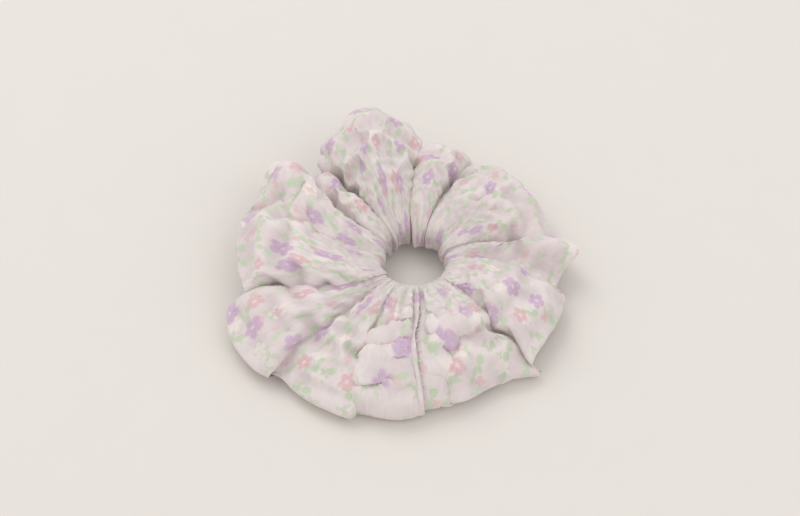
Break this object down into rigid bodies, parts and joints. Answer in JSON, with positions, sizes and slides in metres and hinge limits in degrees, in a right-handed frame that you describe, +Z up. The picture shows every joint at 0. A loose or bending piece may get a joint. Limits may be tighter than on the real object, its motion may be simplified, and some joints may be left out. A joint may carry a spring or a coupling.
{
  "type": "scrunchie",
  "caption": "Soft hair tie: a tube of thin floral-print cloth gathered in puffs on a loop of flat elastic, with a round opening for hair.",
  "frame": {"origin": "on the axis of the opening, on the surface that the scrunchie lies on", "axes": "+Z up along the opening's axis; -Y towards the closing seam at the front, +X to the right seen from the front"},
  "size_m": [0.1173, 0.1094, 0.0308],
  "materials": {
    "printed_voile": "crinkled sheer cloth with a scattered floral print",
    "sewing_thread": "matte",
    "elastic_braid_yarn": "matte braid",
    "rubber_strand": "matte"
  },
  "bodies": {
    "cover": {"fabric_cover": "printed_voile", "tube_seam_thread": "sewing_thread", "closing_seam_thread": "sewing_thread"},
    "elastic": {"elastic_braid": "elastic_braid_yarn", "rubber_cores": "rubber_strand", "elastic_join_thread": "sewing_thread"}
  },
  "joints": [
    {"name": "elastic_turn", "type": "hinge", "parent": "cover", "child": "elastic", "pos_m": [0, 0, 0.0084], "axis": [0, 0, 1], "continuous": true}
  ]
}
